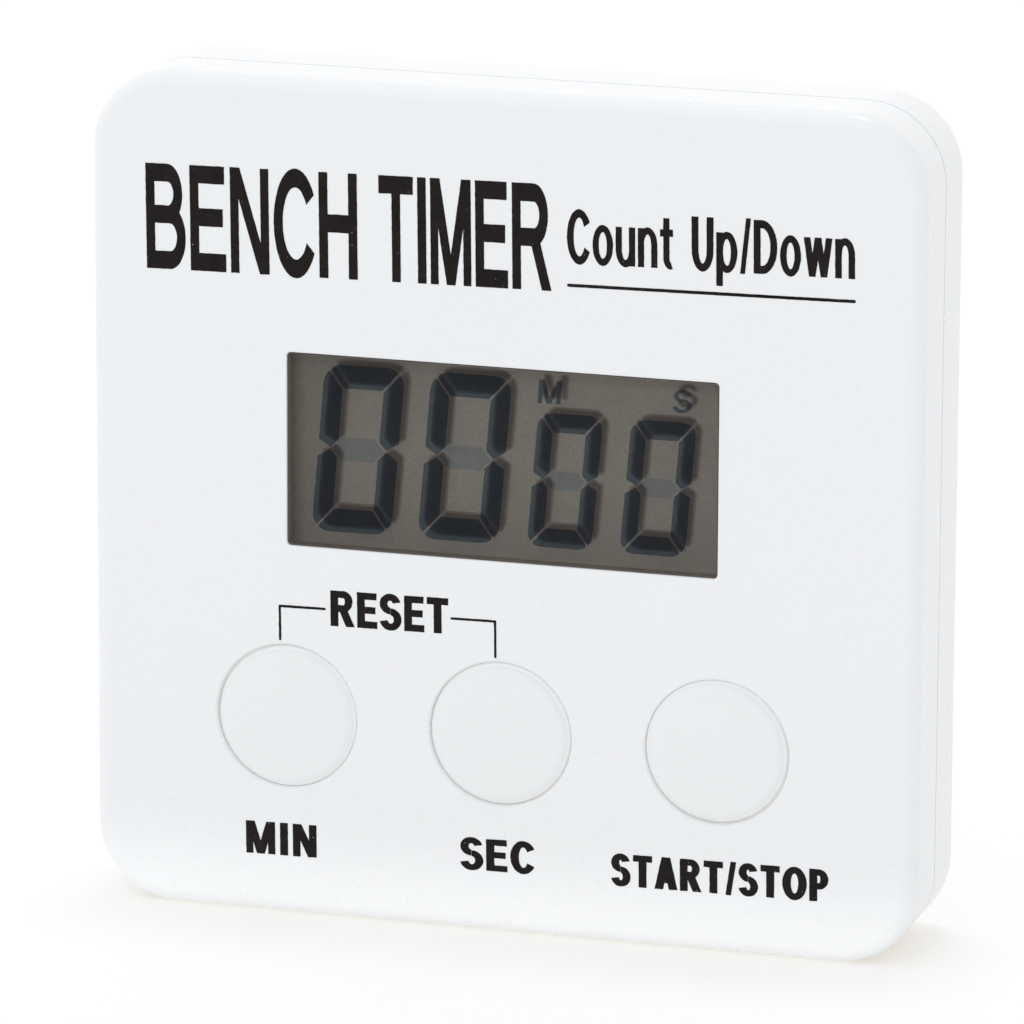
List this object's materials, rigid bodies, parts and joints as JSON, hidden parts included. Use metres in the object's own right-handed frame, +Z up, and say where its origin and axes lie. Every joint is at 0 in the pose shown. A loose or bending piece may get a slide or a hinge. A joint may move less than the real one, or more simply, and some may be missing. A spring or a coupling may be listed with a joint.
{
  "type": "lab timer",
  "caption": "Slim square countdown timer with a digital display, round push buttons, a fold-out stand, back magnets and a coin-slot battery door.",
  "frame": {"origin": "centre of the bounding box's bottom face, under the timer standing on its bottom edge", "axes": "+Z up, +X to the right seen from the front, the display and buttons face -Y and the back faces +Y"},
  "size_m": [0.0636, 0.013, 0.0635],
  "materials": {
    "case_plastic": "glossy injection-moulded white ABS",
    "button_plastic": "satin-gloss white ABS, slightly warmer than the case",
    "lens": "clear acrylic, polished",
    "carbon_rubber": "matte black conductive rubber",
    "silicone": "matte translucent grey silicone",
    "gold_plate": "thin gold plate",
    "board": "green solder mask over glass fibre",
    "polariser": "grey polarising film, satin",
    "lcd_glass": "thin float glass",
    "lcd_reflector": "grey polariser with a grainy silver backing",
    "inner_plastic": "natural matte ABS",
    "black_epoxy": "glossy black epoxy",
    "tinned_metal": "tin plate",
    "tan_ceramic": "matte fired ceramic",
    "ferrite": "dark ferrite with copper winding",
    "brass_sheet": "rolled brass",
    "white_ceramic": "silvered white ceramic",
    "adhesive_foam": "white foam tape",
    "lead_insulation": "soft PVC sleeve",
    "cell_steel": "nickel-plated steel, fine turned brushing",
    "spring_metal": "nickel-plated spring strip",
    "magnet_plating": "nickel plate with fine scuffs",
    "screw_steel": "zinc-plated steel"
  },
  "bodies": {
    "root": {"front_shell": "case_plastic", "rear_shell": "case_plastic", "window_lens": "lens", "keypad_mat": "silicone", "key_contacts": "gold_plate", "circuit_board": "board", "lcd_front_polariser": "polariser", "lcd_front_glass": "lcd_glass", "lcd_rear_glass": "lcd_glass", "lcd_rear_polariser": "lcd_reflector", "lcd_holder": "inner_plastic", "zebra_connector": "carbon_rubber", "controller_chip": "black_epoxy", "quartz_crystal": "tinned_metal", "chip_capacitors": "tan_ceramic", "chip_resistors": "black_epoxy", "boost_coil": "ferrite", "switching_transistor": "black_epoxy", "buzzer_plate": "brass_sheet", "buzzer_ceramic": "white_ceramic", "buzzer_tape": "adhesive_foam", "buzzer_leads": "lead_insulation", "button_cell": "cell_steel", "battery_contact_plus": "spring_metal", "battery_contact_minus": "spring_metal", "magnets": "magnet_plating", "case_screws": "screw_steel", "board_screws": "screw_steel"},
    "min_key": {"min_button": "button_plastic", "min_contact_pill": "carbon_rubber"},
    "sec_key": {"sec_button": "button_plastic", "sec_contact_pill": "carbon_rubber"},
    "start_stop_key": {"start_stop_button": "button_plastic", "start_stop_contact_pill": "carbon_rubber"},
    "door": {"battery_door": "case_plastic"},
    "stand": {"kickstand": "case_plastic"}
  },
  "joints": [
    {"name": "min_press", "type": "slide", "parent": "root", "child": "min_key", "axis": [0, 1, 0], "range_m": [0, 0.0008], "stiffness_N_per_m": 1500, "deforming": ["keypad_mat"]},
    {"name": "sec_press", "type": "slide", "parent": "root", "child": "sec_key", "axis": [0, 1, 0], "range_m": [0, 0.0008], "stiffness_N_per_m": 1500, "deforming": ["keypad_mat"]},
    {"name": "start_stop_press", "type": "slide", "parent": "root", "child": "start_stop_key", "axis": [0, 1, 0], "range_m": [0, 0.0008], "stiffness_N_per_m": 1500, "deforming": ["keypad_mat"]},
    {"name": "stand_hinge", "type": "hinge", "parent": "root", "child": "stand", "pos_m": [0, 0.00553, 0.037], "axis": [1, 0, 0], "range_deg": [0, 40]},
    {"name": "door_turn", "type": "hinge", "parent": "root", "child": "door", "pos_m": [0, 0.00583, 0.0525], "axis": [0, 1, 0], "range_deg": [0, 50]}
  ]
}
